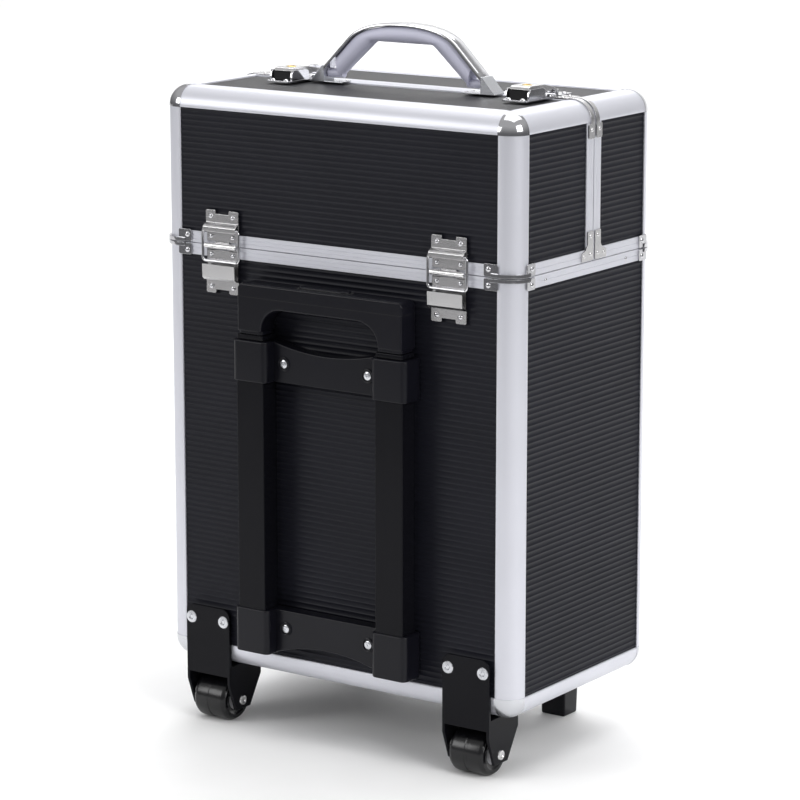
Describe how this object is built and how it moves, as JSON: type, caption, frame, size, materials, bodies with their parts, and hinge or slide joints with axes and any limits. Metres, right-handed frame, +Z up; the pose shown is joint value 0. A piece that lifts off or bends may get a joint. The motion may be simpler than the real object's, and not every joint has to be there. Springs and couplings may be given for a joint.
{
  "type": "makeup train case",
  "caption": "Tall rolling makeup case with an aluminium frame, a top that splits into hinged lids with trays, latches, a carrying handle, wheels and a telescopic trolley.",
  "frame": {"origin": "on the floor, under the middle of the whole object's bounding box", "axes": "+Z up; -Y towards the trolley face, so the trolley side is the rear; +X to the right when looking at the trolley face"},
  "size_m": [0.3448, 0.233, 0.5755],
  "materials": {
    "anodised_aluminium": "satin",
    "ribbed_panel": "fine horizontal ribs",
    "smooth_panel": "satin",
    "nickel_hardware": "polished",
    "black_plastic": "satin",
    "black_painted_steel": "satin",
    "wheel_rubber": "gloss",
    "grey_grip": "satin",
    "tray_plastic": "matte"
  },
  "bodies": {
    "case_body": {"body_frame": "anodised_aluminium", "body_panel_rear": "ribbed_panel", "body_panel_front": "ribbed_panel", "body_panel_left": "ribbed_panel", "body_panel_right": "ribbed_panel", "body_panel_bottom": "smooth_panel", "wheel_bracket_left": "black_painted_steel", "wheel_bracket_right": "black_painted_steel", "front_foot_left": "black_plastic", "front_foot_right": "black_plastic", "trolley_bracket_upper": "black_plastic", "trolley_bracket_lower": "black_plastic", "trolley_outer_tube_left": "black_painted_steel", "trolley_outer_tube_right": "black_painted_steel", "rear_hinge_body_leaf_left": "nickel_hardware", "rear_hinge_body_leaf_right": "nickel_hardware", "front_hinge_body_leaf_left": "nickel_hardware", "front_hinge_body_leaf_right": "nickel_hardware"},
    "trolley_middle_stage": {"trolley_middle_tube_left": "black_painted_steel", "trolley_middle_tube_right": "black_painted_steel"},
    "trolley_grip_stage": {"trolley_inner_tube_left": "black_painted_steel", "trolley_inner_tube_right": "black_painted_steel", "trolley_grip": "black_plastic"},
    "grip_button": {"trolley_grip_button": "black_plastic"},
    "wheel_left": {"wheel_left": "wheel_rubber"},
    "wheel_right": {"wheel_right": "wheel_rubber"},
    "rear_lid": {"rear_lid_frame": "anodised_aluminium", "rear_lid_panel_back": "ribbed_panel", "rear_lid_panel_top": "smooth_panel", "rear_lid_panel_left": "ribbed_panel", "rear_lid_panel_right": "ribbed_panel", "rear_hinge_lid_leaf_left": "nickel_hardware", "rear_hinge_lid_leaf_right": "nickel_hardware", "carry_handle_mount_left": "nickel_hardware", "carry_handle_mount_right": "nickel_hardware", "latch_base_left": "nickel_hardware", "latch_base_right": "nickel_hardware"},
    "front_lid": {"front_lid_frame": "anodised_aluminium", "front_lid_panel_back": "ribbed_panel", "front_lid_panel_top": "smooth_panel", "front_lid_panel_left": "ribbed_panel", "front_lid_panel_right": "ribbed_panel", "front_hinge_lid_leaf_left": "nickel_hardware", "front_hinge_lid_leaf_right": "nickel_hardware", "latch_keeper_left": "nickel_hardware", "latch_keeper_right": "nickel_hardware"},
    "carry_handle": {"carry_handle_strip": "nickel_hardware", "carry_handle_grip": "grey_grip"},
    "latch_lever_left": {"latch_lever_left": "nickel_hardware"},
    "latch_lever_right": {"latch_lever_right": "nickel_hardware"},
    "rear_stay_left": {"rear_hinge_stay_left": "nickel_hardware"},
    "rear_stay_right": {"rear_hinge_stay_right": "nickel_hardware"},
    "rear_tray_arms": {"rear_tray_arm_left": "nickel_hardware", "rear_tray_arm_right": "nickel_hardware"},
    "rear_tray": {"rear_tray": "tray_plastic"},
    "front_stay_left": {"front_hinge_stay_left": "nickel_hardware"},
    "front_stay_right": {"front_hinge_stay_right": "nickel_hardware"},
    "front_tray_arms": {"front_tray_arm_left": "nickel_hardware", "front_tray_arm_right": "nickel_hardware"},
    "front_tray": {"front_tray": "tray_plastic"}
  },
  "joints": [
    {"name": "rear_lid_hinge", "type": "hinge", "parent": "case_body", "child": "rear_lid", "pos_m": [0, -0.09685, 0.399], "axis": [1, 0, 0], "range_deg": [0, 90]},
    {"name": "front_lid_hinge", "type": "hinge", "parent": "case_body", "child": "front_lid", "pos_m": [0, 0.11075, 0.399], "axis": [-1, 0, 0], "range_deg": [0, 90]},
    {"name": "trolley_middle_slide", "type": "slide", "parent": "case_body", "child": "trolley_middle_stage", "axis": [0, 0, -1], "range_m": [-0.215, 0]},
    {"name": "trolley_inner_slide", "type": "slide", "parent": "trolley_middle_stage", "child": "trolley_grip_stage", "axis": [0, 0, -1], "range_m": [-0.2, 0]},
    {"name": "grip_button_press", "type": "slide", "parent": "trolley_grip_stage", "child": "grip_button", "axis": [0, 0, -1], "range_m": [0, 0.004], "stiffness_N_per_m": 500, "springref_m": -0.002},
    {"name": "carry_handle_fold", "type": "hinge", "parent": "rear_lid", "child": "carry_handle", "pos_m": [0, 0.00145, 0.5315], "axis": [1, 0, 0], "range_deg": [0, 75]},
    {"name": "latch_lever_left_pivot", "type": "hinge", "parent": "rear_lid", "child": "latch_lever_left", "pos_m": [-0.1, -0.02205, 0.5305], "axis": [1, 0, 0], "range_deg": [0, 70]},
    {"name": "latch_lever_right_pivot", "type": "hinge", "parent": "rear_lid", "child": "latch_lever_right", "pos_m": [0.126, -0.02205, 0.5305], "axis": [1, 0, 0], "range_deg": [0, 70]},
    {"name": "wheel_left_spin", "type": "hinge", "parent": "case_body", "child": "wheel_left", "pos_m": [-0.127, -0.07905, 0.018], "axis": [1, 0, 0], "continuous": true},
    {"name": "wheel_right_spin", "type": "hinge", "parent": "case_body", "child": "wheel_right", "pos_m": [0.127, -0.07905, 0.018], "axis": [1, 0, 0], "continuous": true},
    {"name": "rear_stay_left_pivot", "type": "hinge", "parent": "rear_lid", "child": "rear_stay_left", "pos_m": [-0.109, -0.09675, 0.4125], "axis": [-1, 0, 0], "range_deg": [0, 59]},
    {"name": "rear_stay_right_pivot", "type": "hinge", "parent": "rear_lid", "child": "rear_stay_right", "pos_m": [0.109, -0.09675, 0.4125], "axis": [-1, 0, 0], "range_deg": [0, 59]},
    {"name": "rear_tray_arms_pivot", "type": "hinge", "parent": "case_body", "child": "rear_tray_arms", "pos_m": [0, -0.06105, 0.38212], "axis": [1, 0, 0], "range_deg": [0, 65]},
    {"name": "rear_tray_pivot", "type": "hinge", "parent": "rear_tray_arms", "child": "rear_tray", "pos_m": [0, -0.02805, 0.455], "axis": [-1, 0, 0], "range_deg": [0, 65]},
    {"name": "front_stay_left_pivot", "type": "hinge", "parent": "front_lid", "child": "front_stay_left", "pos_m": [-0.109, 0.11065, 0.4125], "axis": [1, 0, 0], "range_deg": [0, 59]},
    {"name": "front_stay_right_pivot", "type": "hinge", "parent": "front_lid", "child": "front_stay_right", "pos_m": [0.109, 0.11065, 0.4125], "axis": [1, 0, 0], "range_deg": [0, 59]},
    {"name": "front_tray_arms_pivot", "type": "hinge", "parent": "case_body", "child": "front_tray_arms", "pos_m": [0, 0.07495, 0.37838], "axis": [-1, 0, 0], "range_deg": [0, 65]},
    {"name": "front_tray_pivot", "type": "hinge", "parent": "front_tray_arms", "child": "front_tray", "pos_m": [0, 0.05195, 0.455], "axis": [1, 0, 0], "range_deg": [0, 65]}
  ],
  "couplings": [
    {"joint": "rear_stay_left_pivot", "follows": "rear_lid_hinge", "ratio": 0.652},
    {"joint": "rear_stay_right_pivot", "follows": "rear_lid_hinge", "ratio": 0.652},
    {"joint": "rear_tray_arms_pivot", "follows": "rear_lid_hinge", "ratio": 0.7111},
    {"joint": "rear_tray_pivot", "follows": "rear_lid_hinge", "ratio": 0.7111},
    {"joint": "front_stay_left_pivot", "follows": "front_lid_hinge", "ratio": 0.652},
    {"joint": "front_stay_right_pivot", "follows": "front_lid_hinge", "ratio": 0.652},
    {"joint": "front_tray_arms_pivot", "follows": "front_lid_hinge", "ratio": 0.6056},
    {"joint": "front_tray_pivot", "follows": "front_lid_hinge", "ratio": 0.6056}
  ]
}
